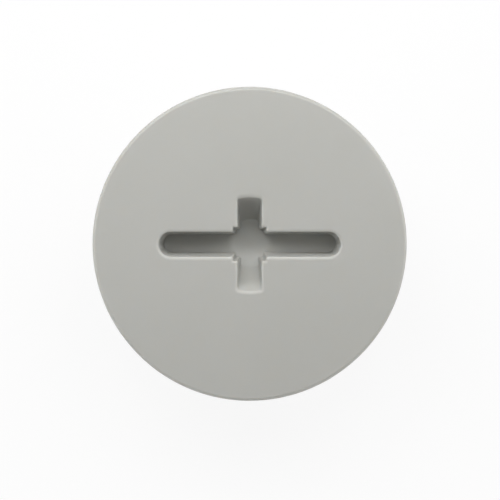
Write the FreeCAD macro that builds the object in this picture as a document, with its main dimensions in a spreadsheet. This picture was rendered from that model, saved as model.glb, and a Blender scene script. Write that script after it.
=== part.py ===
import FreeCAD, Part
import os
import Sketcher

# Screw-in hole plug of moulded plastic, one piece.
# A round flat head closes the hole and a hollow shank carries the thread.
# The head has a driver recess: a long slot crossed by a cross recess, type Z.
# Inside the hollow the slot's housing and the recess boss hang below the face wall.
# The origin is the centre of the head's underside, where the plug seats.
# +Z points out through the face and +X runs along the slot.

# Sizes in millimetres and degrees

SIZES = {
    # head
    "head_diameter": 25.0,
    "head_thickness": 3.5,
    "face_edge_radius": 0.5,
    "seat_edge_chamfer": 0.3,
    # shank, its outside at the crest of the thread
    "crest_diameter": 19.8,
    "shank_length": 9.0,
    "lead_chamfer": 1.0,
    # hollow, open at the end of the shank
    "hollow_diameter": 14.6,
    "hollow_draft": 0.5,
    "hollow_corner_radius": 0.6,
    "face_wall": 1.8,
    # slot
    "slot_length": 14.5,
    "slot_width": 1.9,
    "slot_depth": 3.25,
    "slot_draft": 4.0,
    # cross recess
    "wing_radius": 3.78,
    "wing_width": 1.9,
    "wing_draft": 4.0,
    "wing_slope": 31.4,
    "wing_corner_radius": 0.2,
    "corner_square": 2.66,
    "corner_draft": 6.0,
    "well_depth": 3.0,
    "bowl_depth": 0.6,
    "mouth_radius": 0.3,
    # housing of the recess on the hollow side
    "recess_wall": 1.2,
    "housing_edge_radius": 0.4,
    "boss_edge_chamfer": 0.4,
}

# Heights above the end of the shank, where the body's own sketches start

FACE = "(Sizes.shank_length + Sizes.head_thickness)"
CEILING = f"({FACE} - Sizes.face_wall)"
MID_WALL = f"({FACE} - Sizes.face_wall / 2)"
SLOT_HOUSING_END = f"({FACE} - Sizes.slot_depth - Sizes.recess_wall)"
WELL_RIM = f"({FACE} - Sizes.well_depth)"
BOWL_END = f"({WELL_RIM} - Sizes.bowl_depth)"
BOSS_END = f"({BOWL_END} - Sizes.recess_wall)"

# Radii that follow from the sizes

HOLLOW_TOP = f"(Sizes.hollow_diameter / 2 - {CEILING} * tan(Sizes.hollow_draft))"
WELL_RADIUS = "(Sizes.wing_radius - Sizes.well_depth * tan(Sizes.wing_slope))"
WING_AT_CEILING = "(Sizes.wing_radius - Sizes.face_wall * tan(Sizes.wing_slope))"

NEAR = 0.001

# In a sketch's constraints a point is 1 at a curve's start, 2 at its end and 3 at its
# centre, and the curve -1 is the sketch's level axis and -2 its upright axis.


def make_sheet(doc):
    """Put the sizes into the document's sheet, one cell and one alias for each."""
    sheet = doc.addObject("Spreadsheet::Sheet", "Sizes")
    for row, (alias, value) in enumerate(SIZES.items(), start=1):
        sheet.set(f"A{row}", alias.replace("_", " "))
        sheet.set(f"B{row}", str(value))
        sheet.setAlias(f"B{row}", alias)
    doc.recompute()
    return sheet


def number(owner, expression):
    """Value of an expression, as a plain number."""
    value = owner.evalExpression(expression)
    return float(getattr(value, "Value", value))


def origin_feature(body, role):
    """Origin plane or axis of a body, by its role."""
    for feature in body.Origin.OriginFeatures:
        if feature.Role == role:
            return feature
    raise ValueError(f"{body.Name} has no {role}")


def new_sketch(body, name, plane, height=None):
    """Sketch on an origin plane of its own body, raised by an expression."""
    sketch = body.newObject("Sketcher::SketchObject", name)
    sketch.AttachmentSupport = (origin_feature(body, plane), [""])
    sketch.MapMode = "FlatFace"
    if height:
        sketch.setExpression("AttachmentOffset.Base.z", height)
    return sketch


def hold(sketch, kind, *place, to):
    """Dimension in a sketch that follows an expression."""
    value = number(sketch, to)
    index = sketch.addConstraint(Sketcher.Constraint(kind, *place, value))
    sketch.setExpression(f"Constraints[{index}]", to)


def draw_outline(sketch, corners):
    """Closed outline of straight lines with each corner held by two expressions.

    A corner's "0" puts it on the axis itself.
    """
    points = []
    for along, up in corners:
        points.append(FreeCAD.Vector(number(sketch, along), number(sketch, up), 0))
    count = len(points)
    for i in range(count):
        sketch.addGeometry(Part.LineSegment(points[i], points[(i + 1) % count]))
    for i in range(count):
        following = (i + 1) % count
        sketch.addConstraint(Sketcher.Constraint("Coincident", i, 2, following, 1))
    for i, (along, up) in enumerate(corners):
        if along == "0":
            sketch.addConstraint(Sketcher.Constraint("PointOnObject", i, 1, -2))
        else:
            hold(sketch, "DistanceX", i, 1, to=along)
        if up == "0":
            sketch.addConstraint(Sketcher.Constraint("PointOnObject", i, 1, -1))
        else:
            hold(sketch, "DistanceY", i, 1, to=up)


def draw_rectangle(sketch, length, width):
    """Rectangle centred on the origin."""
    along = number(sketch, length) / 2
    across = number(sketch, width) / 2
    points = [
        FreeCAD.Vector(-along, -across, 0),
        FreeCAD.Vector(along, -across, 0),
        FreeCAD.Vector(along, across, 0),
        FreeCAD.Vector(-along, across, 0),
    ]
    for i in range(4):
        sketch.addGeometry(Part.LineSegment(points[i], points[(i + 1) % 4]))
    for i in range(4):
        sketch.addConstraint(Sketcher.Constraint("Coincident", i, 2, (i + 1) % 4, 1))
    sketch.addConstraint(Sketcher.Constraint("Horizontal", 0))
    sketch.addConstraint(Sketcher.Constraint("Horizontal", 2))
    sketch.addConstraint(Sketcher.Constraint("Vertical", 1))
    sketch.addConstraint(Sketcher.Constraint("Vertical", 3))
    sketch.addConstraint(Sketcher.Constraint("Symmetric", 0, 1, 1, 2, -1, 1))
    hold(sketch, "DistanceX", 0, 1, 0, 2, to=length)
    hold(sketch, "DistanceY", 1, 1, 1, 2, to=width)


def draw_round_ended_slot(sketch, length, width):
    """Slot outline with full-round ends, centred on the origin along X."""
    radius = number(sketch, width) / 2
    reach = number(sketch, length) / 2 - radius
    up = FreeCAD.Vector(0, 0, 1)
    right = FreeCAD.Vector(reach, 0, 0)
    left = FreeCAD.Vector(-reach, 0, 0)
    quarter = 1.5707963267948966
    top_left = FreeCAD.Vector(-reach, radius, 0)
    top_right = FreeCAD.Vector(reach, radius, 0)
    low_right = FreeCAD.Vector(reach, -radius, 0)
    low_left = FreeCAD.Vector(-reach, -radius, 0)
    sketch.addGeometry(Part.LineSegment(top_left, top_right))
    sketch.addGeometry(Part.ArcOfCircle(Part.Circle(right, up, radius), -quarter, quarter))
    sketch.addGeometry(Part.LineSegment(low_right, low_left))
    sketch.addGeometry(Part.ArcOfCircle(Part.Circle(left, up, radius), quarter, 3 * quarter))
    sketch.addConstraint(Sketcher.Constraint("Tangent", 0, 2, 1, 2))
    sketch.addConstraint(Sketcher.Constraint("Tangent", 1, 1, 2, 1))
    sketch.addConstraint(Sketcher.Constraint("Tangent", 2, 2, 3, 2))
    sketch.addConstraint(Sketcher.Constraint("Tangent", 3, 1, 0, 1))
    sketch.addConstraint(Sketcher.Constraint("Equal", 1, 3))
    sketch.addConstraint(Sketcher.Constraint("PointOnObject", 1, 3, -1))
    sketch.addConstraint(Sketcher.Constraint("Symmetric", 1, 3, 3, 3, -1, 1))
    hold(sketch, "Radius", 1, to=f"{width} / 2")
    hold(sketch, "DistanceX", 1, 3, to=f"({length} - {width}) / 2")


def turn(body, name, sketch):
    """Full turn of a sketch about the body's Z axis."""
    feature = body.newObject("PartDesign::Revolution", name)
    feature.Profile = sketch
    feature.ReferenceAxis = (origin_feature(body, "Z_Axis"), [""])
    feature.Angle = 360
    return feature


def pad_down(body, name, sketch, depth, draft):
    """Pad that goes down from its sketch and narrows with depth."""
    feature = body.newObject("PartDesign::Pad", name)
    feature.Profile = sketch
    feature.Reversed = True
    feature.setExpression("Length", depth)
    feature.setExpression("TaperAngle", f"-{draft}")
    return feature


def edge_names(shape, wanted):
    """Names of the edges that a test on the edge's middle and length accepts."""
    names = []
    for i, edge in enumerate(shape.Edges, start=1):
        middle = edge.valueAt((edge.FirstParameter + edge.LastParameter) / 2)
        if wanted(edge, middle):
            names.append(f"Edge{i}")
    return names


def round_edges(body, name, base, names, radius):
    """Rounding of named edges of a body's latest feature."""
    if not names:
        raise RuntimeError(f"{name}: no edge to round")
    feature = body.newObject("PartDesign::Fillet", name)
    feature.Base = (base, names)
    feature.setExpression("Radius", radius)
    return feature


def bevel_edges(body, name, base, names, size):
    """Chamfer of named edges of a body's latest feature."""
    if not names:
        raise RuntimeError(f"{name}: no edge to bevel")
    feature = body.newObject("PartDesign::Chamfer", name)
    feature.Base = (base, names)
    feature.setExpression("Size", size)
    return feature


def is_ring(edge, radius, height):
    """Whether an edge is a full circle of a radius at a height."""
    curve = edge.Curve
    if not isinstance(curve, Part.Circle):
        return False
    same_radius = abs(curve.Radius - radius) < NEAR
    same_height = abs(curve.Center.z - height) < NEAR
    return same_radius and same_height and edge.isClosed()


def check_solid(feature):
    """Stop when a feature has no valid single solid."""
    feature.Document.recompute()
    if "Invalid" in feature.State or "Error" in feature.State:
        raise RuntimeError(f"{feature.Name} failed: {feature.State}")
    shape = feature.Shape
    if shape.isNull() or not shape.isValid() or len(shape.Solids) != 1:
        raise RuntimeError(f"{feature.Name} is not one valid solid")
    return shape.Volume


def make_blank(doc):
    """Head, shank and hollow in one turned profile, with the moulded roundings."""
    body = doc.addObject("PartDesign::Body", "hole_plug")
    crest = "(Sizes.crest_diameter / 2)"
    head = "(Sizes.head_diameter / 2)"
    profile = new_sketch(body, "turned_profile", "XZ_Plane")
    draw_outline(
        profile,
        [
            ("Sizes.hollow_diameter / 2", "0"),
            (f"{crest} - Sizes.lead_chamfer", "0"),
            (crest, "Sizes.lead_chamfer"),
            (crest, "Sizes.shank_length"),
            (head, "Sizes.shank_length"),
            (head, FACE),
            ("0", FACE),
            ("0", CEILING),
            (HOLLOW_TOP, CEILING),
        ],
    )
    blank = turn(body, "turned_blank", profile)
    check_solid(blank)

    head_radius = number(body, head)
    face = number(body, FACE)
    rim = edge_names(blank.Shape, lambda edge, middle: is_ring(edge, head_radius, face))
    rounded_face = round_edges(body, "face_edge", blank, rim, "Sizes.face_edge_radius")
    check_solid(rounded_face)

    seat = number(body, "Sizes.shank_length")
    lower = edge_names(
        rounded_face.Shape, lambda edge, middle: is_ring(edge, head_radius, seat)
    )
    bevelled_seat = bevel_edges(
        body, "seat_edge", rounded_face, lower, "Sizes.seat_edge_chamfer"
    )
    check_solid(bevelled_seat)

    hollow_radius = number(body, HOLLOW_TOP)
    ceiling = number(body, CEILING)
    inner = edge_names(
        bevelled_seat.Shape, lambda edge, middle: is_ring(edge, hollow_radius, ceiling)
    )
    rounded_hollow = round_edges(
        body, "hollow_corner", bevelled_seat, inner, "Sizes.hollow_corner_radius"
    )
    check_solid(rounded_hollow)
    return body


def add_slot_housing(body):
    """Bar below the face wall that holds the slot, from wall to wall of the hollow."""
    before = body.Tip.Shape.Volume
    plan = new_sketch(body, "slot_housing_plan", "XY_Plane", SLOT_HOUSING_END)
    length = "(Sizes.slot_length + 2 * Sizes.recess_wall)"
    width = "(Sizes.slot_width + 2 * Sizes.recess_wall)"
    draw_rectangle(plan, length, width)
    bar = body.newObject("PartDesign::Pad", "slot_housing")
    bar.Profile = plan
    bar.setExpression("Length", f"{MID_WALL} - {SLOT_HOUSING_END}")
    if check_solid(bar) <= before:
        raise RuntimeError("slot_housing adds nothing")

    lowest = number(body, SLOT_HOUSING_END)
    side = number(body, f"{width} / 2")

    def is_lower_side(edge, middle):
        along_x = abs(abs(middle.y) - side) < NEAR
        return along_x and abs(middle.z - lowest) < NEAR and edge.Length > side

    names = edge_names(bar.Shape, is_lower_side)
    rounded = round_edges(
        body, "slot_housing_edges", bar, names, "Sizes.housing_edge_radius"
    )
    check_solid(rounded)


def add_recess_boss(body):
    """Boss on the axis that holds the lower end of the cross recess, its rim bevelled."""
    before = body.Tip.Shape.Volume
    profile = new_sketch(body, "boss_profile", "XZ_Plane")
    foot = f"({WELL_RADIUS} + Sizes.recess_wall)"
    root = f"({WING_AT_CEILING} + Sizes.recess_wall)"
    flare = f"({root} - {foot}) / ({CEILING} - {BOSS_END})"
    bevel = "Sizes.boss_edge_chamfer"
    draw_outline(
        profile,
        [
            ("0", BOSS_END),
            (f"{foot} - {bevel}", BOSS_END),
            (f"{foot} + {flare} * {bevel}", f"{BOSS_END} + {bevel}"),
            (root, CEILING),
            (root, MID_WALL),
            ("0", MID_WALL),
        ],
    )
    boss = turn(body, "recess_boss", profile)
    if check_solid(boss) <= before:
        raise RuntimeError("recess_boss adds nothing")


def make_cross_outline(doc):
    """Plan of the cross recess: two crossed wings and a square, narrowing with depth."""
    body = doc.addObject("PartDesign::Body", "cross_outline")
    reach = "(2 * Sizes.wing_radius + Sizes.wing_width)"
    depth = "(Sizes.well_depth + Sizes.bowl_depth + Sizes.recess_wall)"
    for name, length, width, draft in (
        ("wings_along_y", "Sizes.wing_width", reach, "Sizes.wing_draft"),
        ("wings_along_x", reach, "Sizes.wing_width", "Sizes.wing_draft"),
        ("corners", "Sizes.corner_square", "Sizes.corner_square", "Sizes.corner_draft"),
    ):
        plan = new_sketch(body, f"{name}_plan", "XY_Plane", FACE)
        draw_rectangle(plan, length, width)
        check_solid(pad_down(body, name, plan, depth, draft))
    return body


def make_cross_recess(doc):
    """Cross recess as a solid: sloping wing ends and a rounded well, cut to the cross."""
    body = doc.addObject("PartDesign::Body", "cross_recess")
    profile = new_sketch(body, "well_profile", "XZ_Plane")
    rim = FreeCAD.Vector(number(body, WELL_RADIUS), number(body, WELL_RIM), 0)
    mouth = FreeCAD.Vector(number(body, "Sizes.wing_radius"), number(body, FACE), 0)
    top = FreeCAD.Vector(0, mouth.y, 0)
    bottom = FreeCAD.Vector(0, number(body, BOWL_END), 0)
    sag = rim.y - bottom.y
    bowl_radius = (rim.x**2 + sag**2) / (2 * sag)
    centre = FreeCAD.Vector(0, bottom.y + bowl_radius, 0)
    between = centre + (rim + bottom - centre * 2).normalize() * bowl_radius
    bowl = Part.Arc(bottom, between, rim)
    profile.addGeometry(bowl)
    profile.addGeometry(Part.LineSegment(rim, mouth))
    profile.addGeometry(Part.LineSegment(mouth, top))
    profile.addGeometry(Part.LineSegment(top, bottom))
    for first, second, third, fourth in (
        (0, 2, 1, 1),
        (1, 2, 2, 1),
        (2, 2, 3, 1),
        (3, 2, 0, 1),
    ):
        profile.addConstraint(Sketcher.Constraint("Coincident", first, second, third, fourth))
    profile.addConstraint(Sketcher.Constraint("PointOnObject", 0, 3, -2))
    profile.addConstraint(Sketcher.Constraint("PointOnObject", 0, 1, -2))
    profile.addConstraint(Sketcher.Constraint("PointOnObject", 2, 2, -2))
    profile.addConstraint(Sketcher.Constraint("Horizontal", 2))
    hold(profile, "DistanceX", 0, 2, to=WELL_RADIUS)
    hold(profile, "DistanceY", 0, 2, to=WELL_RIM)
    hold(profile, "DistanceY", 0, 1, to=BOWL_END)
    hold(profile, "DistanceX", 1, 2, to="Sizes.wing_radius")
    hold(profile, "DistanceY", 1, 2, to=FACE)
    well = turn(body, "well", profile)
    whole = check_solid(well)

    crossing = body.newObject("PartDesign::Boolean", "cut_to_cross")
    crossing.setObjects([make_cross_outline(doc)])
    crossing.Type = "Common"
    if check_solid(crossing) >= whole:
        raise RuntimeError("cut_to_cross removes nothing")

    face = number(body, FACE)
    reach = number(body, "Sizes.wing_radius")
    beside = number(body, "Sizes.wing_width / 2")
    low = number(body, WELL_RADIUS)

    def is_wing_corner(edge, middle):
        heights = [v.Z for v in edge.Vertexes]
        rises = max(heights) > face - NEAR and min(heights) < face - NEAR
        ends = [abs(v.Y) for v in edge.Vertexes if v.Z > face - NEAR]
        outer = bool(ends) and max(ends) > reach - beside
        return rises and outer and abs(middle.y) > low and abs(middle.x) < beside

    names = edge_names(crossing.Shape, is_wing_corner)
    before = crossing.Shape.Volume
    rounded = round_edges(body, "wing_corners", crossing, names, "Sizes.wing_corner_radius")
    if check_solid(rounded) >= before:
        raise RuntimeError("wing_corners removes nothing")
    return body


def cut_slot(body):
    """Long slot for a coin or a flat blade, narrowing with depth."""
    before = body.Tip.Shape.Volume
    plan = new_sketch(body, "slot_plan", "XY_Plane", FACE)
    draw_round_ended_slot(plan, "Sizes.slot_length", "Sizes.slot_width")
    slot = body.newObject("PartDesign::Pocket", "slot")
    slot.Profile = plan
    slot.setExpression("Length", "Sizes.slot_depth")
    slot.setExpression("TaperAngle", "-Sizes.slot_draft")
    if check_solid(slot) >= before:
        raise RuntimeError("slot cuts nothing")


def cut_cross(doc, body):
    """Cross recess cut into the head."""
    before = body.Tip.Shape.Volume
    tool = make_cross_recess(doc)
    cut = body.newObject("PartDesign::Boolean", "cross_cut")
    cut.setObjects([tool])
    cut.Type = "Cut"
    if check_solid(cut) >= before:
        raise RuntimeError("cross_cut removes nothing")


def round_mouth(body):
    """Rounding of all edges of the slot and the cross recess at the face."""
    base = body.Tip
    face = number(body, FACE)
    furthest = number(body, "Sizes.slot_length")

    def is_mouth(edge, middle):
        flat = all(abs(v.Z - face) < NEAR for v in edge.Vertexes)
        return flat and abs(middle.z - face) < NEAR and edge.Length < furthest

    names = edge_names(base.Shape, is_mouth)
    before = base.Shape.Volume
    rounded = round_edges(body, "mouth_edges", base, names, "Sizes.mouth_radius")
    if check_solid(rounded) >= before:
        raise RuntimeError("mouth_edges removes nothing")


def check_document(doc):
    """Stop when any object of the document has failed."""
    doc.recompute()
    for item in doc.Objects:
        if "Invalid" in item.State or "Error" in item.State:
            raise RuntimeError(f"{item.Name} failed: {item.State}")


def write_part(body):
    """Write the sub-part's solid to its own STEP file."""
    shape = body.Shape
    if shape.isNull() or not shape.isValid() or len(shape.Solids) != 1:
        raise RuntimeError(f"{body.Label} is not one valid solid")
    os.makedirs("parts", exist_ok=True)
    shape.exportStep(f"parts/{body.Label}.step")
    box = shape.BoundBox
    print(f"{body.Label}: volume {shape.Volume:.3f}, faces {len(shape.Faces)}")
    print(f"x {box.XMin:.3f} {box.XMax:.3f}, y {box.YMin:.3f} {box.YMax:.3f}")
    print(f"z {box.ZMin:.3f} {box.ZMax:.3f}")


document = FreeCAD.newDocument("hole_plug")
make_sheet(document)
plug = make_blank(document)
add_slot_housing(plug)
add_recess_boss(plug)
cut_slot(plug)
cut_cross(document, plug)
round_mouth(plug)
plug.Label = "hole_plug"
plug.setExpression("Placement.Base.z", "-Sizes.shank_length")
check_document(document)
write_part(plug)
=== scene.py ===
"""Looks of a screw-in hole plug, one piece of light grey moulded plastic.

The plug is put together from solids: a turned blank, the housing and the boss under
the recess, the driver recess and the thread. Lengths are in metres.
"""

import logging
import math
from collections.abc import Callable
from dataclasses import dataclass, field
from enum import Enum
from typing import Any

import bmesh
import bpy
from mathutils import Matrix, Vector


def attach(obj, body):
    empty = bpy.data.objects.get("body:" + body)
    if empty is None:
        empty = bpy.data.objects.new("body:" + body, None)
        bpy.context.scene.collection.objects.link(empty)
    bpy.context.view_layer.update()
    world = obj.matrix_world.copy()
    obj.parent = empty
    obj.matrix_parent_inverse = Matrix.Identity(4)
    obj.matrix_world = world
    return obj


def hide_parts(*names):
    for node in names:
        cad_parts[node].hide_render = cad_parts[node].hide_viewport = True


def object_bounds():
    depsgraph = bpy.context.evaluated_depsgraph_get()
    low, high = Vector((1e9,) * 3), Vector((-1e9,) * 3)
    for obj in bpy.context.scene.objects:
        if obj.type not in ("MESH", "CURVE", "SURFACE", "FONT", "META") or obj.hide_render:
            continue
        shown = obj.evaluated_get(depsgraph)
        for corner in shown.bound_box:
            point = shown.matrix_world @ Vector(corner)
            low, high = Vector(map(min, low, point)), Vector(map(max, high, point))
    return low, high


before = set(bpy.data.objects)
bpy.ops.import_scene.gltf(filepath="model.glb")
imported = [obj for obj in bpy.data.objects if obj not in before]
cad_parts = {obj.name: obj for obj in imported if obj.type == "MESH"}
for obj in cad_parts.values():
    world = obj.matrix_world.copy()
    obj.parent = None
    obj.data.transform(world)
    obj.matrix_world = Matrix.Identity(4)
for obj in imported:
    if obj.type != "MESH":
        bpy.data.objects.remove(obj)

CAD_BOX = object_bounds()
MM = 0.001

# Sizes that several forms of the plug share. The housing and the boss leave a wall
# of the same thickness round the recess.
FACE_HEIGHT = 3.5 * MM
FACE_WALL = 1.8 * MM
CREST_RADIUS = 9.9 * MM
SLOT_LENGTH = 14.5 * MM
SLOT_DEPTH = 3.25 * MM
WELL_DEPTH = 3.0 * MM
BOWL_DEPTH = 0.6 * MM
RECESS_WALL = 1.2 * MM

# A point in a plane, and a point in space.
Flat = tuple[float, float]
Place = tuple[float, float, float]

log = logging.getLogger("hole_plug")


def linear(hex_code: str) -> tuple[float, float, float, float]:
    """Turn an sRGB hex colour into linear values.

    Args:
        hex_code: colour as "#rrggbb".

    Returns:
        Red, green and blue in linear light, and an alpha of 1.
    """
    values = []
    for start in (1, 3, 5):
        share = int(hex_code[start : start + 2], 16) / 255
        if share <= 0.04045:
            values.append(share / 12.92)
        else:
            values.append(((share + 0.055) / 1.055) ** 2.4)
    return values[0], values[1], values[2], 1.0


def add_node(
    tree: bpy.types.NodeTree,
    kind: str,
    settings: dict[str, Any] | None = None,
    inputs: dict[str | int, Any] | None = None,
) -> bpy.types.Node:
    """Add one node to a tree, with its settings, values and links.

    Args:
        tree: node tree that gets the node.
        kind: Blender's type name of the node.
        settings: properties of the node by name.
        inputs: input sockets by name or number, each with a value or a socket to link.

    Returns:
        The new node.
    """
    node = tree.nodes.new(kind)
    for name, value in (settings or {}).items():
        setattr(node, name, value)
    for key, value in (inputs or {}).items():
        socket = node.inputs[key]
        if isinstance(value, bpy.types.NodeSocket):
            tree.links.new(value, socket)
        else:
            socket.default_value = value
    return node


def plain_mesh(source: bpy.types.Object, name: str) -> bpy.types.Mesh:
    """Turn an object and its modifiers into a mesh of its own.

    Args:
        source: object to evaluate.
        name: name of the mesh.

    Returns:
        The evaluated mesh, apart from the object.
    """
    graph = bpy.context.evaluated_depsgraph_get()
    mesh = bpy.data.meshes.new_from_object(
        source.evaluated_get(graph), preserve_all_data_layers=True, depsgraph=graph
    )
    mesh.name = name
    return mesh


def place_mesh(mesh: bpy.types.Mesh, name: str) -> bpy.types.Object:
    """Put a mesh into the scene as an object at the origin.

    Args:
        mesh: mesh with its place in its own points.
        name: name of the object.

    Returns:
        The new object.
    """
    piece = bpy.data.objects.new(name, mesh)
    bpy.context.scene.collection.objects.link(piece)
    return piece


def solid_from_rings(name: str, rings: list[list[Place]]) -> bpy.types.Object:
    """Join rings of points, each to the next, into one closed solid.

    Args:
        name: name of the object.
        rings: rings of equal count in order. A ring of one point is a pole.

    Returns:
        The solid's object, its faces pointing outwards.
    """
    shape = bmesh.new()
    loops = [[shape.verts.new(point) for point in ring] for ring in rings]
    for first, second in zip(loops, loops[1:]):
        count = max(len(first), len(second))
        for here in range(count):
            after = (here + 1) % count
            if len(first) == 1:
                corners = (first[0], second[after], second[here])
            elif len(second) == 1:
                corners = (first[here], first[after], second[0])
            else:
                corners = (first[here], first[after], second[after], second[here])
            shape.faces.new(corners)
    for cap in (loops[0], loops[-1]):
        if len(cap) > 2:
            shape.faces.new(cap)
    bmesh.ops.recalc_face_normals(shape, faces=shape.faces)
    mesh = bpy.data.meshes.new(name)
    shape.to_mesh(mesh)
    shape.free()
    return place_mesh(mesh, name)


def turned_solid(name: str, outline: list[Flat], steps: int) -> bpy.types.Object:
    """Turn an outline about the plug's axis.

    Args:
        name: name of the object.
        outline: points as radius and height, from the axis back to the axis.
        steps: points round each ring.

    Returns:
        The solid's object.
    """
    rings = []
    for radius, height in outline:
        if radius == 0.0:
            rings.append([(0.0, 0.0, height)])
            continue
        ring = []
        for step in range(steps):
            angle = math.tau * step / steps
            ring.append((radius * math.cos(angle), radius * math.sin(angle), height))
        rings.append(ring)
    return solid_from_rings(name, rings)


def arc(middle: Flat, radius: float, first: float, last: float, steps: int) -> list[Flat]:
    """List the points of an arc, with both its ends.

    Args:
        middle: centre of the arc.
        radius: radius of the arc.
        first: angle of its first point, in degrees.
        last: angle of its last point, in degrees.
        steps: number of chords.

    Returns:
        The points in order.
    """
    points = []
    for step in range(steps + 1):
        angle = math.radians(first + (last - first) * step / steps)
        across = middle[0] + radius * math.cos(angle)
        points.append((across, middle[1] + radius * math.sin(angle)))
    return points


class Join(Enum):
    """Way two solids are put together."""

    ADD = "UNION"
    CUT = "DIFFERENCE"
    KEEP = "INTERSECT"


def combine(
    piece: bpy.types.Object, other: bpy.types.Object, join: Join
) -> bpy.types.Object:
    """Put a second solid to a first one, and remove the second.

    Args:
        piece: solid that is changed.
        other: solid that is added, cut away or kept to.
        join: way the two are put together.

    Returns:
        The changed piece.
    """
    step = piece.modifiers.new("join", "BOOLEAN")
    step.operation = join.value
    step.solver = "MANIFOLD"
    step.object = other
    mesh = plain_mesh(piece, piece.name)
    piece.modifiers.remove(step)
    piece.data = mesh
    bpy.data.objects.remove(other)
    if not mesh.polygons:
        raise RuntimeError(f"nothing is left of {piece.name}")
    return piece


class Hand(Enum):
    """Way a screw thread winds."""

    RIGHT = "right"
    LEFT = "left"


@dataclass(frozen=True)
class MouldedPolyamide:
    """Light grey polyamide, injection moulded in a finely eroded tool.

    Attributes:
        body_hex: colour of the plastic where it is at its lightest.
        flow_hex: colour in the slow drift that the melt's flow leaves.
        roughness: satin of the eroded tool face.
        unevenness: how far the roughness strays with the grain.
        ior: typical value for polyamide.
        scatter: how far light travels inside the plastic, in metres.
        colour_reach: the same for red, green and blue, in shares of it.
        grain: width of the eroded grain as drawn, in metres.
        grain_height: height of the grain, in metres.
        grain_layers: layers of ever finer grain.
        grain_fineness: strength of each layer against the one before.
        relief: share of the grain's height that the finish keeps.
        drift: width of the flow's tone drift, in metres.
        drift_layers: layers of ever finer drift.
        drift_fineness: strength of each layer against the one before.
    """

    body_hex: str = "#bcbcb8"
    flow_hex: str = "#b7b7b2"
    roughness: float = 0.4
    unevenness: float = 0.06
    ior: float = 1.53
    scatter: float = 0.35 * MM
    colour_reach: Place = (1.0, 0.9, 0.8)
    grain: float = 0.16 * MM
    grain_height: float = 0.01 * MM
    grain_layers: float = 2.0
    grain_fineness: float = 0.6
    relief: float = 0.08
    drift: float = 7.0 * MM
    drift_layers: float = 3.0
    drift_fineness: float = 0.45

    def material(self) -> bpy.types.Material:
        """Build the finish.

        Returns:
            The material.
        """
        material = bpy.data.materials.new("light_grey_moulded_polyamide")
        material.use_nodes = True
        tree = material.node_tree
        tree.nodes.clear()
        place = add_node(tree, "ShaderNodeTexCoord").outputs["Object"]

        # The melt fills the mould from the middle, so its tone drifts very slowly.
        drift = add_node(
            tree,
            "ShaderNodeTexNoise",
            inputs={
                "Vector": place,
                "Scale": 1 / self.drift,
                "Detail": self.drift_layers,
                "Roughness": self.drift_fineness,
            },
        )
        tone = add_node(
            tree,
            "ShaderNodeMix",
            {"data_type": "RGBA"},
            {
                0: drift.outputs["Fac"],
                6: linear(self.body_hex),
                7: linear(self.flow_hex),
            },
        )

        # A spark-eroded tool leaves an even, very fine grain: satin, with no pattern.
        # A real grain of a few hundredths of a millimetre is too fine to show, so it
        # is drawn about two pixels of the picture wide.
        grain = add_node(
            tree,
            "ShaderNodeTexNoise",
            inputs={
                "Vector": place,
                "Scale": 1 / self.grain,
                "Detail": self.grain_layers,
                "Roughness": self.grain_fineness,
            },
        )
        satin = add_node(
            tree,
            "ShaderNodeMapRange",
            inputs={
                "Value": grain.outputs["Fac"],
                "To Min": self.roughness - self.unevenness,
                "To Max": self.roughness + self.unevenness,
            },
        )
        bump = add_node(
            tree,
            "ShaderNodeBump",
            inputs={
                "Height": grain.outputs["Fac"],
                "Strength": self.relief,
                "Distance": self.grain_height,
            },
        )

        # Grey polyamide is a little cloudy: light spreads under its skin and softens
        # the dark of narrow places and the edges between light and shade.
        shader = add_node(
            tree,
            "ShaderNodeBsdfPrincipled",
            inputs={
                "Base Color": tone.outputs[2],
                "Roughness": satin.outputs["Result"],
                "Normal": bump.outputs["Normal"],
                "IOR": self.ior,
                "Subsurface Weight": 1.0,
                "Subsurface Radius": self.colour_reach,
                "Subsurface Scale": self.scatter,
            },
        )
        add_node(
            tree,
            "ShaderNodeOutputMaterial",
            inputs={"Surface": shader.outputs["BSDF"]},
        )
        return material


@dataclass(frozen=True)
class WhitePaper:
    """Matt white paper under the plug, shown as pure white with a faint shadow.

    Attributes:
        paper_hex: colour of the paper where light meets it.
        glow: share of plain white in what the camera sees.
    """

    paper_hex: str = "#f4f4f4"
    glow: float = 0.9

    def material(self) -> bpy.types.Material:
        """Build the finish.

        Returns:
            The material.
        """
        material = bpy.data.materials.new("matt_white_paper")
        material.use_nodes = True
        tree = material.node_tree
        tree.nodes.clear()
        paper = add_node(
            tree,
            "ShaderNodeBsdfDiffuse",
            inputs={"Color": linear(self.paper_hex), "Roughness": 1.0},
        )
        white = add_node(
            tree,
            "ShaderNodeEmission",
            inputs={"Color": (1.0, 1.0, 1.0, 1.0), "Strength": 1.0},
        )
        path = add_node(tree, "ShaderNodeLightPath")
        seen = path.outputs["Is Camera Ray"]
        for other in ("Is Glossy Ray", "Is Transmission Ray"):
            seen = add_node(
                tree,
                "ShaderNodeMath",
                {"operation": "MAXIMUM"},
                {0: seen, 1: path.outputs[other]},
            ).outputs[0]
        share = add_node(
            tree,
            "ShaderNodeMath",
            {"operation": "MULTIPLY"},
            {0: seen, 1: self.glow},
        )
        mixed = add_node(
            tree,
            "ShaderNodeMixShader",
            inputs={0: share.outputs[0], 1: paper.outputs[0], 2: white.outputs[0]},
        )
        add_node(
            tree,
            "ShaderNodeOutputMaterial",
            inputs={"Surface": mixed.outputs[0]},
        )
        return material


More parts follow.
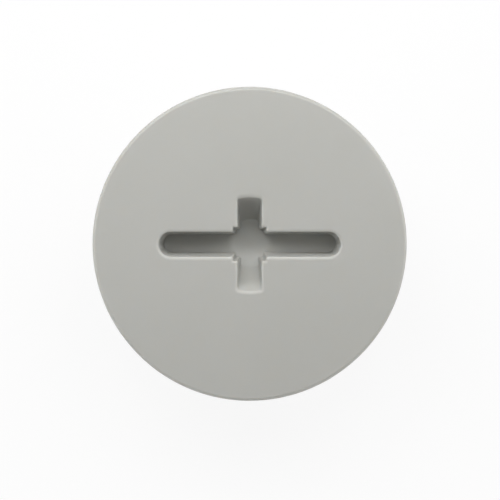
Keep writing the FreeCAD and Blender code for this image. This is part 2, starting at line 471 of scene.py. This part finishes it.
@dataclass
class MetricThread:
    """Moulded thread of the shank, M20 by 1.5, cut as a helical groove.

    Attributes:
        crest_radius: radius over the crest, in metres.
        pitch: distance from turn to turn, in metres.
        depth: depth of the groove, in metres.
        crest_flat: width of the flat crest, in metres.
        root_flat: width of the flat root, in metres.
        start: height where the groove runs out below the head, in metres.
        end: height past the shank's end where the groove leaves it, in metres.
        run_out: share of the groove's length over which it rises out of the shank.
        past_crest: how far the groove's section passes the crest, in depths.
        weld: distance within which swept points are one, in metres.
        steps: points on each turn.
        hand: way the thread winds.
    """

    crest_radius: float = CREST_RADIUS
    pitch: float = 1.5 * MM
    depth: float = 0.86 * MM
    crest_flat: float = 0.2 * MM
    root_flat: float = 0.34 * MM
    start: float = -1.5 * MM
    end: float = -10.5 * MM
    run_out: float = 0.09
    past_crest: float = 0.15
    weld: float = 1e-8
    steps: int = 96
    hand: Hand = Hand.RIGHT

    def sizes(self) -> dict[str, float | int | bool]:
        """Gather the sizes that the groove's node tree takes.

        Returns:
            Each value under the name of its input.
        """
        return {
            "Crest radius": self.crest_radius,
            "Pitch": self.pitch,
            "Depth": self.depth,
            "Crest flat": self.crest_flat,
            "Root flat": self.root_flat,
            "Start": self.start,
            "End": self.end,
            "Run out": self.run_out,
            "Steps": self.steps,
            "Left hand": self.hand is Hand.LEFT,
        }

    def groove_tree(self) -> bpy.types.NodeTree:
        """Build the node tree that sweeps the groove's section along its helix.

        Returns:
            The tree, with the thread's sizes as named inputs.
        """
        tree = bpy.data.node_groups.new("thread_groove", "GeometryNodeTree")
        face = tree.interface
        face.new_socket("Geometry", in_out="INPUT", socket_type="NodeSocketGeometry")
        kinds = {float: "NodeSocketFloat", int: "NodeSocketInt", bool: "NodeSocketBool"}
        for name, value in self.sizes().items():
            face.new_socket(name, in_out="INPUT", socket_type=kinds[type(value)])
        face.new_socket("Finish", in_out="INPUT", socket_type="NodeSocketMaterial")
        face.new_socket("Geometry", in_out="OUTPUT", socket_type="NodeSocketGeometry")

        # Each value that follows from the sizes has a name, an operation and two terms.
        known: dict[str | float, Any] = {
            socket.name: socket for socket in add_node(tree, "NodeGroupInput").outputs
        }
        for result, operation, first, second in (
            ("Rise", "SUBTRACT", "Start", "End"),
            ("Turns", "DIVIDE", "Rise", "Pitch"),
            ("Lift from", "SUBTRACT", 1.0, "Run out"),
            ("Lift", "MULTIPLY", "Depth", 1 + self.past_crest),
            ("Past crest", "MULTIPLY", "Depth", self.past_crest),
            ("Outer edge", "MULTIPLY", "Past crest", -1.0),
            ("Root half", "MULTIPLY", "Root flat", 0.5),
            ("Mouth", "SUBTRACT", "Pitch", "Crest flat"),
            ("Mouth half", "MULTIPLY", "Mouth", 0.5),
            ("Widening", "SUBTRACT", "Mouth half", "Root half"),
            ("Slope", "DIVIDE", "Widening", "Depth"),
            ("Further widening", "MULTIPLY", "Past crest", "Slope"),
            ("Edge half", "ADD", "Mouth half", "Further widening"),
            ("Lower root half", "MULTIPLY", "Root half", -1.0),
            ("Lower edge half", "MULTIPLY", "Edge half", -1.0),
        ):
            known[result] = add_node(
                tree,
                "ShaderNodeMath",
                {"operation": operation},
                {0: known.get(first, first), 1: known.get(second, second)},
            ).outputs[0]

        helix = add_node(
            tree,
            "GeometryNodeCurveSpiral",
            inputs={
                "Resolution": known["Steps"],
                "Rotations": known["Turns"],
                "Start Radius": known["Crest radius"],
                "End Radius": known["Crest radius"],
                "Height": known["Rise"],
                "Reverse": known["Left hand"],
            },
        )
        lowered = add_node(
            tree,
            "GeometryNodeTransform",
            inputs={
                "Geometry": helix.outputs["Curve"],
                "Translation": add_node(
                    tree, "ShaderNodeCombineXYZ", inputs={"Z": known["End"]}
                ).outputs[0],
            },
        )

        # Near the head the groove rises out of the shank over a part of a turn.
        along = add_node(tree, "GeometryNodeSplineParameter").outputs["Factor"]
        lift = add_node(
            tree,
            "ShaderNodeMapRange",
            {"interpolation_type": "SMOOTHSTEP"},
            {
                "Value": along,
                "From Min": known["Lift from"],
                "From Max": 1.0,
                "To Min": 0.0,
                "To Max": known["Lift"],
            },
        )
        flat = add_node(
            tree,
            "ShaderNodeVectorMath",
            {"operation": "MULTIPLY"},
            {0: add_node(tree, "GeometryNodeInputPosition").outputs[0], 1: (1.0, 1.0, 0.0)},
        )
        outward = add_node(
            tree,
            "ShaderNodeVectorMath",
            {"operation": "NORMALIZE"},
            {0: flat.outputs[0]},
        )
        shift = add_node(
            tree,
            "ShaderNodeVectorMath",
            {"operation": "SCALE"},
            {0: outward.outputs[0], "Scale": lift.outputs["Result"]},
        )
        path = add_node(
            tree,
            "GeometryNodeSetPosition",
            inputs={"Geometry": lowered.outputs[0], "Offset": shift.outputs[0]},
        )
        upright = add_node(
            tree,
            "GeometryNodeSetCurveNormal",
            {"mode": "Z_UP"},
            {"Curve": path.outputs[0]},
        )

        # Section: a flat root inside, widening to just past the crest. X points
        # inwards from the crest and Y along the axis.
        corners = {}
        for number, (inwards, half) in enumerate(
            (
                ("Depth", "Lower root half"),
                ("Outer edge", "Lower edge half"),
                ("Outer edge", "Edge half"),
                ("Depth", "Root half"),
            ),
            start=1,
        ):
            corners[f"Point {number}"] = add_node(
                tree,
                "ShaderNodeCombineXYZ",
                inputs={"X": known[inwards], "Y": known[half]},
            ).outputs[0]
        section = add_node(
            tree,
            "GeometryNodeCurvePrimitiveQuadrilateral",
            {"mode": "POINTS"},
            corners,
        )
        swept = add_node(
            tree,
            "GeometryNodeCurveToMesh",
            inputs={
                "Curve": upright.outputs[0],
                "Profile Curve": section.outputs[0],
                "Fill Caps": True,
            },
        )
        real = add_node(
            tree,
            "GeometryNodeRealizeInstances",
            inputs={"Geometry": swept.outputs[0]},
        )
        dressed = add_node(
            tree,
            "GeometryNodeSetMaterial",
            inputs={"Geometry": real.outputs[0], "Material": known["Finish"]},
        )
        add_node(tree, "NodeGroupOutput", inputs={"Geometry": dressed.outputs[0]})
        return tree

    def groove(self, finish: bpy.types.Material) -> bpy.types.Object:
        """Build the groove as a closed solid to cut with.

        Args:
            finish: material of the groove's faces.

        Returns:
            The groove's object.
        """
        holder = place_mesh(bpy.data.meshes.new("thread_path"), "thread_path")
        modifier = holder.modifiers.new("thread_groove", "NODES")
        tree = self.groove_tree()
        modifier.node_group = tree
        values = self.sizes() | {"Finish": finish}
        for item in tree.interface.items_tree:
            if item.in_out == "INPUT" and item.name in values:
                modifier[item.identifier] = values[item.name]
        mesh = plain_mesh(holder, "thread_groove")
        holder.modifiers.remove(modifier)
        bpy.data.objects.remove(holder)
        shape = bmesh.new()
        shape.from_mesh(mesh)
        bmesh.ops.remove_doubles(shape, verts=shape.verts, dist=self.weld)
        bmesh.ops.recalc_face_normals(shape, faces=shape.faces)
        bmesh.ops.triangulate(shape, faces=shape.faces)
        shape.to_mesh(mesh)
        shape.free()
        return place_mesh(mesh, "thread_groove")


@dataclass
class TurnedBlank:
    """Head and hollow shank as a turned form, before the recess and the thread.

    Attributes:
        head_radius: outer radius of the head.
        head_thickness: height of the face over the seat.
        face_edge_radius: rounding of the face's rim.
        seat_edge_chamfer: bevel of the seat's rim.
        crest_radius: outer radius of the shank, over its thread.
        shank_length: from the seat to the shank's end.
        lead_chamfer: bevel of the shank's end.
        hollow_radius: radius of the hollow at the shank's end.
        hollow_draft: angle by which the hollow narrows towards the head, in degrees.
        hollow_corner: rounding between the hollow's wall and its ceiling.
        face_wall: thickness of the head over the hollow.
        steps: points round the axis.
        bend_steps: chords of each rounding.
    """

    head_radius: float = 12.5 * MM
    head_thickness: float = FACE_HEIGHT
    face_edge_radius: float = 0.3 * MM
    seat_edge_chamfer: float = 0.3 * MM
    crest_radius: float = CREST_RADIUS
    shank_length: float = 9.0 * MM
    lead_chamfer: float = 1.0 * MM
    hollow_radius: float = 7.3 * MM
    hollow_draft: float = 0.5
    hollow_corner: float = 0.6 * MM
    face_wall: float = FACE_WALL
    steps: int = 256
    bend_steps: int = 8

    def outline(self) -> list[Flat]:
        """Draw the blank's outline.

        Returns:
            Points as radius and height, from the face's middle to the ceiling's.
        """
        face = self.head_thickness
        end = -self.shank_length
        ceiling = face - self.face_wall
        bend = self.face_edge_radius
        points = [(0.0, face)]
        points += arc((self.head_radius - bend, face - bend), bend, 90, 0, self.bend_steps)
        points += [
            (self.head_radius, self.seat_edge_chamfer),
            (self.head_radius - self.seat_edge_chamfer, 0.0),
            (self.crest_radius, 0.0),
            (self.crest_radius, end + self.lead_chamfer),
            (self.crest_radius - self.lead_chamfer, end),
            (self.hollow_radius, end),
        ]
        taper = math.tan(math.radians(self.hollow_draft))
        top = self.hollow_radius - (ceiling - end) * taper
        corner = (top - self.hollow_corner, ceiling - self.hollow_corner)
        points += arc(corner, self.hollow_corner, 0, 90, self.bend_steps)
        points.append((0.0, ceiling))
        return points

    def build(self) -> bpy.types.Object:
        """Turn the blank."""
        return turned_solid("blank", self.outline(), self.steps)


@dataclass
class SlotHousing:
    """Bar under the face wall that closes the slot from below.

    Attributes:
        length: length along the slot, into the shank's wall at both ends.
        width: width across the slot.
        bottom: height of its lower side.
        top: height at which it ends inside the face wall.
        edge_radius: rounding of its two lower long edges.
        bend_steps: chords of each rounding.
    """

    length: float = SLOT_LENGTH + 2 * RECESS_WALL
    width: float = 4.3 * MM
    bottom: float = FACE_HEIGHT - SLOT_DEPTH - RECESS_WALL
    top: float = 2.6 * MM
    edge_radius: float = 0.4 * MM
    bend_steps: int = 8

    def build(self) -> bpy.types.Object:
        """Build the bar.

        Returns:
            The bar as a closed solid.
        """
        side = self.width / 2
        bend = self.edge_radius
        section = [(side, self.top), (-side, self.top)]
        low = self.bottom + bend
        section += arc((-side + bend, low), bend, 180, 270, self.bend_steps)
        section += arc((side - bend, low), bend, 270, 360, self.bend_steps)
        rings = []
        for end in (-self.length / 2, self.length / 2):
            rings.append([(end, across, height) for across, height in section])
        return solid_from_rings("slot_housing", rings)


@dataclass
class RecessBoss:
    """Round boss on the axis that closes the cross recess from below.

    Attributes:
        foot_radius: radius at its lower end, the well's rim and its wall.
        root_radius: radius where it meets the ceiling, the wings' ends and their wall.
        bottom: height of its lower end.
        ceiling: height of the hollow's ceiling.
        top: height at which it ends inside the face wall.
        edge_bevel: bevel of its lower edge.
        steps: points round the axis.
    """

    foot_radius: float = 3.149 * MM
    root_radius: float = 3.881 * MM
    bottom: float = FACE_HEIGHT - WELL_DEPTH - BOWL_DEPTH - RECESS_WALL
    ceiling: float = FACE_HEIGHT - FACE_WALL
    top: float = 2.5 * MM
    edge_bevel: float = 0.4 * MM
    steps: int = 128

    def build(self) -> bpy.types.Object:
        """Turn the boss.

        Returns:
            The boss as a closed solid.
        """
        flare = (self.root_radius - self.foot_radius) / (self.ceiling - self.bottom)
        outline = [
            (0.0, self.bottom),
            (self.foot_radius - self.edge_bevel, self.bottom),
            (self.foot_radius + flare * self.edge_bevel, self.bottom + self.edge_bevel),
            (self.root_radius, self.ceiling),
            (self.root_radius, self.top),
            (0.0, self.top),
        ]
        return turned_solid("recess_boss", outline, self.steps)


@dataclass
class DriverRecess:
    """Slot for a coin, crossed by a cross recess of type Z, as a solid to cut with.

    Attributes:
        face: height of the face that the recess starts from.
        slot_length: overall length of the slot at the face.
        slot_width: width of the slot at the face.
        slot_depth: depth of the slot.
        slot_draft: draft of the slot's wall, in degrees.
        wing_radius: radius of the wings' ends at the face.
        wing_width: width of the wings at the face.
        wing_draft: draft of the wings' flanks, in degrees.
        wing_slope: slope of the wings' ends, in degrees from the axis.
        wing_corner: rounding of the wings' end corners.
        square: side of the square between the wings, at the face.
        square_draft: draft of the square, in degrees.
        well_depth: depth at which the rounded bottom begins.
        bowl_depth: depth of the rounded bottom below that.
        floor_bend: rounding from the slot's floor down into the rounded bottom.
        floor_reach: radius of the slot's floor as built, in slot lengths.
        well_reach: radius at which the well starts to widen, in rim radii.
        wall_run: how far slot and square run on below the well's rim, in bowl depths.
        wing_run: the same for the wings, a little more for the same reason.
        mouth_depth: depth over which the recess's edges are rounded.
        slot_mouth: width of the slot's rounded edge at the face.
        wing_mouth: width of the wings' rounded edges at the face.
        square_mouth: width of the square's rounded edges at the face.
        square_bend: rounding of the square's corners, and into slot and wings.
        over: height above the face to which slot, wings and square run.
        floor_over: the same for the slot's floor, so that no two ends share a plane.
        well_over: the same for the well.
        steps: points round the well.
        round_steps: chords of the slot's full-round ends.
        end_steps: chords of the wings' ends.
        bend_steps: chords of each rounding.
    """

    face: float = FACE_HEIGHT
    slot_length: float = SLOT_LENGTH
    slot_width: float = 1.99 * MM
    slot_depth: float = SLOT_DEPTH
    slot_draft: float = 4.8
    wing_radius: float = 3.78 * MM
    wing_width: float = 1.95 * MM
    wing_draft: float = 4.5
    wing_slope: float = 31.4
    wing_corner: float = 0.2 * MM
    square: float = 2.7 * MM
    square_draft: float = 4.0
    well_depth: float = WELL_DEPTH
    bowl_depth: float = BOWL_DEPTH
    floor_bend: float = 1.5 * MM
    floor_reach: float = 0.6
    well_reach: float = 1.3
    wall_run: float = 1.5
    wing_run: float = 1.6
    mouth_depth: float = 0.11 * MM
    slot_mouth: float = 0.3 * MM
    wing_mouth: float = 0.3 * MM
    square_mouth: float = 0.2 * MM
    square_bend: float = 0.13 * MM
    over: float = 1.0 * MM
    floor_over: float = 2.0 * MM
    well_over: float = 1.5 * MM
    steps: int = 192
    round_steps: int = 48
    end_steps: int = 12
    bend_steps: int = 8

    def reach(self, half: float, draft: float, depth: float, mouth: float) -> float:
        """Give the half-size of the recess at a depth, its mouth rounded.

        The rounding is a flat quarter of an ellipse, wide at the face and steep inside.

        Args:
            half: half-size at the face, without the rounding.
            draft: draft of the wall, in degrees.
            depth: depth below the face; less than nothing is above it.
            mouth: width of the mouth's rounding at the face.

        Returns:
            The half-size there.
        """
        depth = max(depth, 0.0)
        wall = half - depth * math.tan(math.radians(draft))
        left = max(1 - depth / self.mouth_depth, 0.0)
        return wall + mouth * (1 - math.sqrt(1 - left**2))

    def sunk_solid(
        self, name: str, bottom: float, draw: Callable[[float], list[Flat]]
    ) -> bpy.types.Object:
        """Build a solid that runs from above the face down to a depth.

        Its rings lie close together over the mouth's rounding.

        Args:
            name: name of the object.
            bottom: depth of its lower end.
            draw: gives the solid's outline at a depth.

        Returns:
            The solid's object.
        """
        depths = [-self.over]
        for step in range(self.bend_steps + 1):
            angle = math.radians(90 - 90 * step / self.bend_steps)
            depths.append(self.mouth_depth * (1 - math.sin(angle)))
        depths.append(bottom)
        rings = [[(x, y, self.face - depth) for x, y in draw(depth)] for depth in depths]
        return solid_from_rings(name, rings)

    def bowl(self) -> tuple[float, float]:
        """Work out the ball that the rounded bottom is a cap of.

        Returns:
            The ball's radius and the height of its centre.
        """
        rim = self.reach(self.wing_radius, self.wing_slope, self.well_depth, 0.0)
        ball = (rim**2 + self.bowl_depth**2) / (2 * self.bowl_depth)
        return ball, self.face - self.well_depth - self.bowl_depth + ball

    def bowl_outline(self, reach: float) -> list[Flat]:
        """List points of the rounded bottom, one for each degree of its ball.

        Args:
            reach: radius at which the list ends.

        Returns:
            The points as radius and height, from the axis outwards.
        """
        ball, middle = self.bowl()
        last = math.degrees(math.asin(reach / ball))
        points = [(0.0, middle - ball)]
        for degree in range(1, math.ceil(last)):
            angle = math.radians(degree)
            points.append((ball * math.sin(angle), middle - ball * math.cos(angle)))
        points.append((reach, middle - math.sqrt(ball**2 - reach**2)))
        return points

    def slot_floor(self) -> bpy.types.Object:
        """Build what lies over the slot's flat floor and its dip into the well.

        Returns:
            The turned solid. It ends above the other solids, so no ends share a plane.
        """
        ball, middle = self.bowl()
        floor = self.face - self.slot_depth
        rise = middle - floor + self.floor_bend
        flat_from = math.sqrt((ball + self.floor_bend) ** 2 - rise**2)
        outline = self.bowl_outline(flat_from * ball / (ball + self.floor_bend))
        turn = math.degrees(math.atan2(flat_from, rise))
        centre = (flat_from, floor - self.floor_bend)
        outline += arc(centre, self.floor_bend, 90 + turn, 90, self.bend_steps)[1:]
        outer = self.floor_reach * self.slot_length
        top = self.face + self.floor_over
        outline += [(outer, floor), (outer, top), (0.0, top)]
        return turned_solid("slot_floor", outline, self.steps)

    def slot_ring(self, depth: float) -> list[Flat]:
        """Draw the slot at a depth, with its full-round ends.

        Args:
            depth: depth below the face.

        Returns:
            The ring's points, anticlockwise from the right end's lower side.
        """
        straight = (self.slot_length - self.slot_width) / 2
        half = self.reach(self.slot_width / 2, self.slot_draft, depth, self.slot_mouth)
        ring = arc((straight, 0.0), half, -90, 90, self.round_steps)
        ring += arc((-straight, 0.0), half, 90, 270, self.round_steps)
        return ring

    def wing_ring(self, depth: float) -> list[Flat]:
        """Draw the two wings that lie across the slot, at a depth, as one outline.

        Args:
            depth: depth below the face.

        Returns:
            The ring's points, anticlockwise from the top of the right flank.
        """
        side = self.reach(self.wing_width / 2, self.wing_draft, depth, self.wing_mouth)
        end = self.reach(self.wing_radius, self.wing_slope, depth, self.wing_mouth)
        plain = self.reach(self.wing_width / 2, self.wing_draft, depth, 0.0)
        corner = self.wing_corner + side - plain
        inset = side - corner
        up = math.sqrt((end - corner) ** 2 - inset**2)
        turn = math.degrees(math.atan2(up, inset))
        ring = arc((inset, up), corner, 0, turn, self.bend_steps)
        ring += arc((0.0, 0.0), end, turn, 180 - turn, self.end_steps)[1:-1]
        ring += arc((-inset, up), corner, 180 - turn, 180, self.bend_steps)
        ring += arc((-inset, -up), corner, 180, 180 + turn, self.bend_steps)
        ring += arc((0.0, 0.0), end, 180 + turn, 360 - turn, self.end_steps)[1:-1]
        ring += arc((inset, -up), corner, 360 - turn, 360, self.bend_steps)
        return ring

    def corner_ring(self, depth: float) -> list[Flat]:
        """Draw the square at a depth, rounded at its corners and into slot and wings.

        Args:
            depth: depth below the face.

        Returns:
            The ring's points, anticlockwise from the slot.
        """
        half = self.reach(self.square / 2, self.square_draft, depth, self.square_mouth)
        slot = self.reach(self.slot_width / 2, self.slot_draft, depth, self.slot_mouth)
        wing = self.reach(self.wing_width / 2, self.wing_draft, depth, self.wing_mouth)
        bend = self.square_bend
        ring = []
        for quarter in range(4):
            before, after = (slot, wing) if quarter % 2 == 0 else (wing, slot)
            part = arc((half + bend, before + bend), bend, 270, 180, self.bend_steps)
            part += arc((half - bend, half - bend), bend, 0, 90, self.bend_steps)
            part += arc((after + bend, half + bend), bend, 270, 180, self.bend_steps)
            for _ in range(quarter):
                part = [(-y, x) for x, y in part]
            ring += part
        return ring

    def well(self) -> bpy.types.Object:
        """Build the rounded bottom, widening upwards past the wings.

        Returns:
            The turned solid to which wings and square are kept.
        """
        rim = self.reach(self.wing_radius, self.wing_slope, self.well_depth, 0.0)
        outline = self.bowl_outline(self.well_reach * rim)
        radius, height = outline[-1]
        top = self.face + self.well_over
        outline += [(radius + top - height, top), (0.0, top)]
        return turned_solid("well", outline, self.steps)

    def build(self) -> bpy.types.Object:
        """Build the whole recess.

        Returns:
            The recess as one closed solid.
        """
        wall_end = self.well_depth + self.wall_run * self.bowl_depth
        wing_end = self.well_depth + self.wing_run * self.bowl_depth
        recess = self.sunk_solid("driver_recess", wing_end, self.wing_ring)
        square = self.sunk_solid("square", wall_end, self.corner_ring)
        combine(recess, square, Join.ADD)
        combine(recess, self.well(), Join.KEEP)
        slot = self.sunk_solid("slot", wall_end, self.slot_ring)
        combine(slot, self.slot_floor(), Join.KEEP)
        combine(recess, slot, Join.ADD)
        return recess


@dataclass
class MouldedPlug:
    """The plug: round head with its driver recess, and the hollow threaded shank.

    Attributes:
        node: the plug's solid in the frame.
        blank: head and hollow shank.
        housing: bar under the slot.
        boss: boss under the cross recess.
        recess: slot and cross recess in the face.
        thread: thread that the shank carries.
        finish: finish of the whole moulding.
        crease: angle past which an edge stays crisp, in radians.
    """

    node: str = "hole_plug"
    blank: TurnedBlank = field(default_factory=TurnedBlank)
    housing: SlotHousing = field(default_factory=SlotHousing)
    boss: RecessBoss = field(default_factory=RecessBoss)
    recess: DriverRecess = field(default_factory=DriverRecess)
    thread: MetricThread = field(default_factory=MetricThread)
    finish: MouldedPolyamide = field(default_factory=MouldedPolyamide)
    crease: float = math.radians(13)

    def smooth(self, piece: bpy.types.Object) -> None:
        """Shade roundings smooth, keep edges crisp and flats flat.

        Args:
            piece: the plug's object, changed in place.
        """
        mesh = piece.data
        mesh.shade_smooth()
        mesh.set_sharp_from_angle(angle=self.crease)
        even = piece.modifiers.new("even_flats", "WEIGHTED_NORMAL")
        even.keep_sharp = True
        dressed = plain_mesh(piece, "moulded_plug")
        piece.modifiers.remove(even)
        piece.data = dressed

    def build(self) -> bpy.types.Object:
        """Build and dress the plug.

        Returns:
            The finished piece.
        """
        finish = self.finish.material()
        piece = self.blank.build()
        piece.name = "moulded_plug"
        combine(piece, self.housing.build(), Join.ADD)
        combine(piece, self.boss.build(), Join.ADD)
        combine(piece, self.recess.build(), Join.CUT)
        log.info("recess cut: %d faces", len(piece.data.polygons))
        combine(piece, self.thread.groove(finish), Join.CUT)
        log.info("thread cut: %d faces", len(piece.data.polygons))
        self.smooth(piece)
        mesh = piece.data
        mesh.materials.clear()
        mesh.materials.append(finish)
        for polygon in mesh.polygons:
            polygon.material_index = 0
        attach(piece, "root")
        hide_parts(self.node)
        return piece


@dataclass(frozen=True)
class LowWindow:
    """Bright band low on one side, as a window behind the table's edge gives.

    Attributes:
        azimuth: direction from the plug, in degrees from +X towards +Y.
        strength: strength at the horizon in that direction.
        narrowness: how fast the band fades upwards; more is narrower.
    """

    azimuth: float = 270.0
    strength: float = 7.0
    narrowness: float = 12.0


@dataclass(frozen=True)
class Lamp:
    """One soft square lamp that faces the plug.

    Attributes:
        name: name of the lamp.
        azimuth: direction from the plug, in degrees from +X towards +Y.
        height: angle over the floor, in degrees.
        power: in watts.
        distance: distance from the plug, in metres.
        size: length of its side, in metres.
    """

    name: str
    azimuth: float
    height: float
    power: float
    distance: float = 0.22
    size: float = 0.12

    def build(self) -> bpy.types.Object:
        """Hang the lamp.

        Returns:
            The lamp's object.
        """
        light = bpy.data.lights.new(self.name, "AREA")
        light.shape = "SQUARE"
        light.size = self.size
        light.energy = self.power
        turn = math.radians(self.azimuth)
        up = math.radians(self.height)
        place = self.distance * Vector(
            (
                math.cos(up) * math.cos(turn),
                math.cos(up) * math.sin(turn),
                math.sin(up),
            )
        )
        lamp = bpy.data.objects.new(self.name, light)
        lamp.location = place
        lamp.rotation_euler = (-place).to_track_quat("-Z", "Y").to_euler()
        bpy.context.scene.collection.objects.link(lamp)
        return lamp


@dataclass
class Studio:
    """White floor, soft lamps and a low window round the plug, and the camera.

    Attributes:
        floor_height: height of the surface the plug stands on, in metres.
        floor_gap: gap that keeps the floor clear of the plug's end, in metres.
        floor_size: side of the floor, in metres.
        face_height: height of the head's face, in metres.
        lens: focal length, in millimetres.
        sensor: width of the camera's sensor, in millimetres.
        nearest: where the camera's view starts, in metres.
        furthest: where it ends, in metres.
        frame_width: width of the view at the face, in metres.
        lean: angle from the plug's axis to the camera, towards +Y, in radians.
        aim: point on the face in the middle of the view, in metres.
        window: low light from one side.
        lamps: the soft lamps.
        paper: surface of the floor.
    """

    floor_height: float
    floor_gap: float = 0.02 * MM
    floor_size: float = 1.2
    face_height: float = FACE_HEIGHT
    lens: float = 150.0
    sensor: float = 36.0
    nearest: float = 0.005
    furthest: float = 10.0
    frame_width: float = 39.71 * MM
    lean: float = math.radians(1.8)
    aim: Flat = (0.03 * MM, -0.456 * MM)
    window: LowWindow = field(default_factory=LowWindow)
    lamps: tuple[Lamp, ...] = (
        Lamp("far_high", azimuth=90, height=60, power=0.088, distance=0.16, size=0.09),
        Lamp("far_left", azimuth=125, height=45, power=0.112, distance=0.16, size=0.09),
        Lamp("far_right", azimuth=55, height=45, power=0.09, distance=0.16, size=0.09),
        Lamp("left", azimuth=180, height=35, power=0.068),
        Lamp("left_low", azimuth=180, height=15, power=0.079),
        Lamp("right_high", azimuth=0, height=55, power=0.03),
        Lamp("right_low", azimuth=0, height=15, power=0.135),
    )
    paper: WhitePaper = field(default_factory=WhitePaper)

    def build_floor(self) -> bpy.types.Object:
        """Lay the white floor.

        Returns:
            The floor's object.
        """
        half = self.floor_size / 2
        shape = bmesh.new()
        corners = ((-half, -half), (half, -half), (half, half), (-half, half))
        height = self.floor_height - self.floor_gap
        shape.faces.new([shape.verts.new((x, y, height)) for x, y in corners])
        mesh = bpy.data.meshes.new("floor")
        shape.to_mesh(mesh)
        shape.free()
        mesh.materials.append(self.paper.material())
        floor = place_mesh(mesh, "floor")
        return floor

    def build_sky(self) -> None:
        """Set the low light of the window, and dark elsewhere."""
        world = bpy.data.worlds.new("low_window")
        bpy.context.scene.world = world
        world.use_nodes = True
        tree = world.node_tree
        tree.nodes.clear()
        way = add_node(tree, "ShaderNodeTexCoord").outputs["Generated"]
        turn = math.radians(self.window.azimuth)
        known: dict[str | float, Any] = {
            "Height": add_node(tree, "ShaderNodeSeparateXYZ", inputs={0: way}).outputs["Z"],
            "Towards": add_node(
                tree,
                "ShaderNodeVectorMath",
                {"operation": "DOT_PRODUCT"},
                {0: way, 1: (math.cos(turn), math.sin(turn), 0.0)},
            ).outputs["Value"],
        }

        # The band is bright at the horizon on the window's side and fades upwards.
        for result, operation, first, second in (
            ("Tilt", "ABSOLUTE", "Height", 0.0),
            ("Low", "SUBTRACT", 1.0, "Tilt"),
            ("Band", "POWER", "Low", self.window.narrowness),
            ("Facing", "MAXIMUM", "Towards", 0.0),
            ("Side", "MULTIPLY", "Facing", self.window.strength),
            ("Strength", "MULTIPLY", "Band", "Side"),
        ):
            known[result] = add_node(
                tree,
                "ShaderNodeMath",
                {"operation": operation},
                {0: known.get(first, first), 1: known.get(second, second)},
            ).outputs[0]
        light = add_node(
            tree,
            "ShaderNodeBackground",
            inputs={"Color": (1.0, 1.0, 1.0, 1.0), "Strength": known["Strength"]},
        )
        add_node(tree, "ShaderNodeOutputWorld", inputs={"Surface": light.outputs[0]})

    def build_camera(self) -> bpy.types.Object:
        """Set the camera almost straight above the face, as in the photograph.

        Returns:
            The camera's object.
        """
        data = bpy.data.cameras.new("camera")
        data.lens = self.lens
        data.sensor_width = self.sensor
        data.clip_start = self.nearest
        data.clip_end = self.furthest
        data.dof.use_dof = False
        camera = bpy.data.objects.new("camera", data)
        reach = self.frame_width * self.lens / self.sensor
        back = Vector((0.0, math.sin(self.lean), math.cos(self.lean)))
        up = Vector((0.0, math.cos(self.lean), -math.sin(self.lean)))
        side = up.cross(back)
        target = Vector((self.aim[0], self.aim[1], self.face_height))
        turn = Matrix((side, up, back)).transposed().to_4x4()
        camera.matrix_world = Matrix.Translation(target + back * reach) @ turn
        bpy.context.scene.collection.objects.link(camera)
        bpy.context.scene.camera = camera
        return camera

    def build(self) -> None:
        """Set up floor, light and camera."""
        bpy.context.scene.view_settings.view_transform = "Standard"
        self.build_floor()
        self.build_sky()
        for lamp in self.lamps:
            lamp.build()
        self.build_camera()


def main() -> None:
    """Build the plug and its studio, and log how many faces the plug has."""
    logging.basicConfig(level=logging.INFO, format="%(name)s: %(message)s")
    plug = MouldedPlug().build()
    log.info("%s built with %d faces", plug.name, len(plug.data.polygons))
    Studio(floor_height=CAD_BOX[0][2]).build()
    log.info("studio set")


if __name__ == "__main__":
    main()
